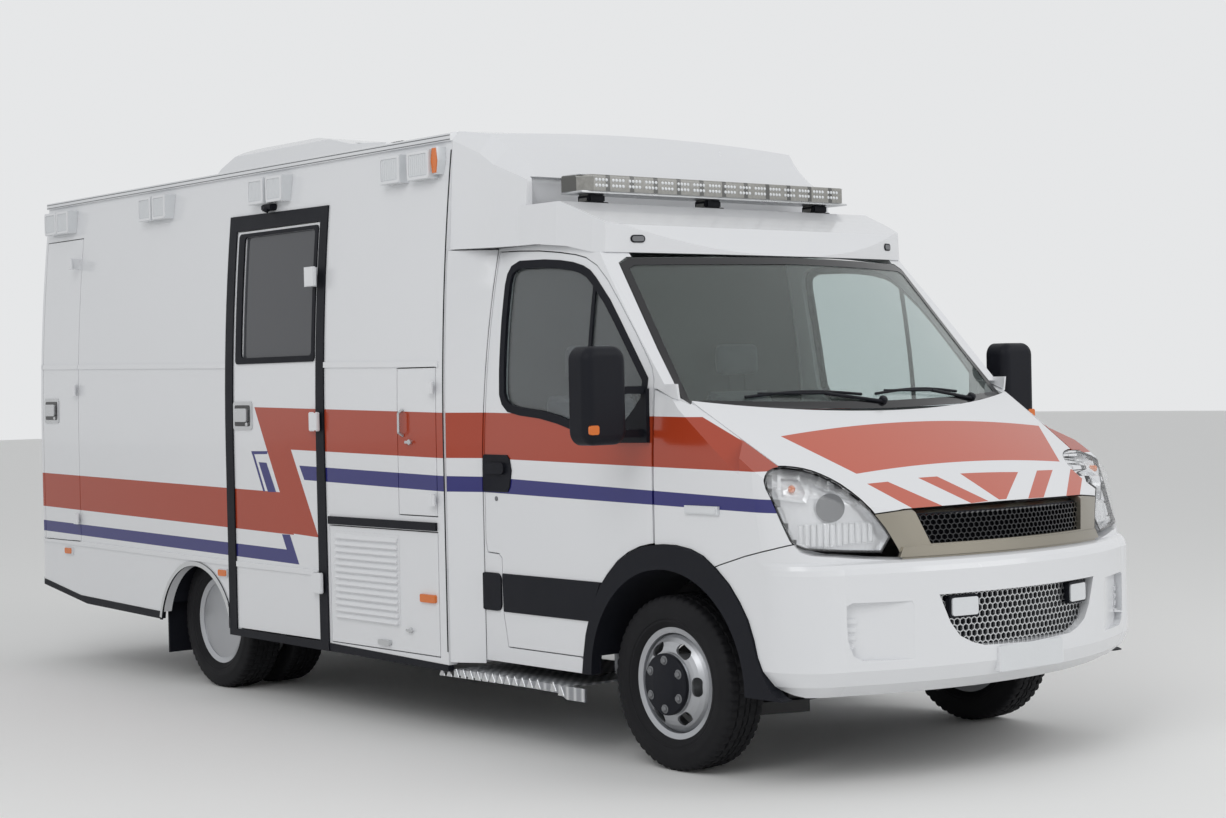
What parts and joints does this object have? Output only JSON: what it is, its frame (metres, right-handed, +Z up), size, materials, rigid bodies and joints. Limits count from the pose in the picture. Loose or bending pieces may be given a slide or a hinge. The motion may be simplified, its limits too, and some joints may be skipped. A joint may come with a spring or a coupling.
{
  "type": "van-based box ambulance",
  "caption": "Box-body ambulance on a twin-rear-wheel van chassis, with cab doors, bonnet, side door, rear doors, lockers, light bar and steered front wheels.",
  "frame": {"origin": "on the ground, at the centre of the vehicle's length and width", "axes": "+X forward, +Y to the vehicle's left, +Z up"},
  "size_m": [6.44, 2.66, 2.878],
  "materials": {
    "white_paint": "gloss",
    "grp_white": "gloss",
    "tyre_rubber": "matte",
    "rim_grey": "satin",
    "black_plastic": "matte",
    "frame_black": "satin",
    "cast": "rough",
    "glass_dark": "gloss",
    "lamp_clear": "gloss",
    "grille_metal": "satin",
    "chequer": "satin",
    "seat_cloth": "woven"
  },
  "bodies": {
    "chassis": {"air_unit": "grp_white", "arches": "black_plastic", "body_lamps": "lamp_clear", "body_trim": "rim_grey", "box_floor": "white_paint", "box_front": "white_paint", "box_rear_frame": "white_paint", "box_roof": "grp_white", "box_side_left": "white_paint", "box_side_right": "white_paint", "cab_fairing": "grp_white", "cab_sides": "white_paint", "cab_tub": "white_paint", "chassis_frame": "frame_black", "corner_strips": "white_paint", "dashboard": "black_plastic", "front_axle": "frame_black", "front_bumper": "grp_white", "grille": "grille_metal", "headlamps": "lamp_clear", "light_bar": "lamp_clear", "locker_boxes": "white_paint", "powertrain": "cast", "rear_axle": "frame_black", "seats": "seat_cloth", "steering_wheel": "black_plastic", "steps": "chequer", "windscreen": "glass_dark", "wings": "white_paint"},
    "knuckle_left": {"knuckle_left": "cast"},
    "knuckle_right": {"knuckle_right": "cast"},
    "front_wheel_left": {"front_tyre_left": "tyre_rubber", "front_rim_left": "rim_grey"},
    "front_wheel_right": {"front_tyre_right": "tyre_rubber", "front_rim_right": "rim_grey"},
    "rear_wheels_left": {"rear_tyres_left": "tyre_rubber", "rear_rim_left": "rim_grey"},
    "rear_wheels_right": {"rear_tyres_right": "tyre_rubber", "rear_rim_right": "rim_grey"},
    "cab_door_left": {"cab_door_left": "white_paint", "door_glass_left": "glass_dark", "mirror_left": "black_plastic"},
    "cab_door_right": {"cab_door_right": "white_paint", "door_glass_right": "glass_dark", "mirror_right": "black_plastic"},
    "bonnet": {"bonnet": "white_paint"},
    "side_door": {"side_door": "white_paint", "side_door_glass": "glass_dark"},
    "locker_door_upper": {"locker_door_upper": "white_paint"},
    "locker_door_lower": {"locker_door_lower": "white_paint"},
    "locker_door_rear": {"locker_door_rear": "white_paint"},
    "rear_door_left": {"rear_door_left": "white_paint", "rear_glass_left": "glass_dark"},
    "rear_door_right": {"rear_door_right": "white_paint", "rear_glass_right": "glass_dark"}
  },
  "joints": [
    {"name": "steer_left", "type": "hinge", "parent": "chassis", "child": "knuckle_left", "pos_m": [2.2, 0.74, 0.345], "axis": [0, 0, 1], "range_deg": [-33, 33]},
    {"name": "steer_right", "type": "hinge", "parent": "chassis", "child": "knuckle_right", "pos_m": [2.2, -0.74, 0.345], "axis": [0, 0, 1], "range_deg": [-33, 33]},
    {"name": "spin_front_left", "type": "hinge", "parent": "knuckle_left", "child": "front_wheel_left", "pos_m": [2.2, 0.86, 0.345], "axis": [0, 1, 0], "continuous": true},
    {"name": "spin_front_right", "type": "hinge", "parent": "knuckle_right", "child": "front_wheel_right", "pos_m": [2.2, -0.86, 0.345], "axis": [0, 1, 0], "continuous": true},
    {"name": "spin_rear_left", "type": "hinge", "parent": "chassis", "child": "rear_wheels_left", "pos_m": [-1.3, 0.77, 0.345], "axis": [0, 1, 0], "continuous": true},
    {"name": "spin_rear_right", "type": "hinge", "parent": "chassis", "child": "rear_wheels_right", "pos_m": [-1.3, -0.77, 0.345], "axis": [0, 1, 0], "continuous": true},
    {"name": "cab_door_left_hinge", "type": "hinge", "parent": "chassis", "child": "cab_door_left", "pos_m": [2.166, 1.006, 1.2], "axis": [0, 0, -1], "range_deg": [0, 66]},
    {"name": "cab_door_right_hinge", "type": "hinge", "parent": "chassis", "child": "cab_door_right", "pos_m": [2.166, -1.006, 1.2], "axis": [0, 0, 1], "range_deg": [0, 66]},
    {"name": "bonnet_hinge", "type": "hinge", "parent": "chassis", "child": "bonnet", "pos_m": [2.33, 0, 1.46], "axis": [0, -1, 0], "range_deg": [0, 50]},
    {"name": "side_door_hinge", "type": "hinge", "parent": "chassis", "child": "side_door", "pos_m": [-0.098, -1.124, 1.2], "axis": [0, 0, 1], "range_deg": [0, 90]},
    {"name": "locker_upper_hinge", "type": "hinge", "parent": "chassis", "child": "locker_door_upper", "pos_m": [0.852, -1.124, 1.3], "axis": [0, 0, 1], "range_deg": [0, 95]},
    {"name": "locker_lower_hinge", "type": "hinge", "parent": "chassis", "child": "locker_door_lower", "pos_m": [0.4, -1.108, 0.897], "axis": [-1, 0, 0], "range_deg": [0, 85]},
    {"name": "locker_rear_hinge", "type": "hinge", "parent": "chassis", "child": "locker_door_rear", "pos_m": [-2.634, -1.124, 1.5], "axis": [0, 0, 1], "range_deg": [0, 95]},
    {"name": "rear_door_left_hinge", "type": "hinge", "parent": "chassis", "child": "rear_door_left", "pos_m": [-3.136, 0.664, 1.5], "axis": [0, 0, -1], "range_deg": [0, 105]},
    {"name": "rear_door_right_hinge", "type": "hinge", "parent": "chassis", "child": "rear_door_right", "pos_m": [-3.136, -0.664, 1.5], "axis": [0, 0, 1], "range_deg": [0, 105]}
  ],
  "couplings": [
    {"joint": "steer_right", "follows": "steer_left", "ratio": 1}
  ]
}
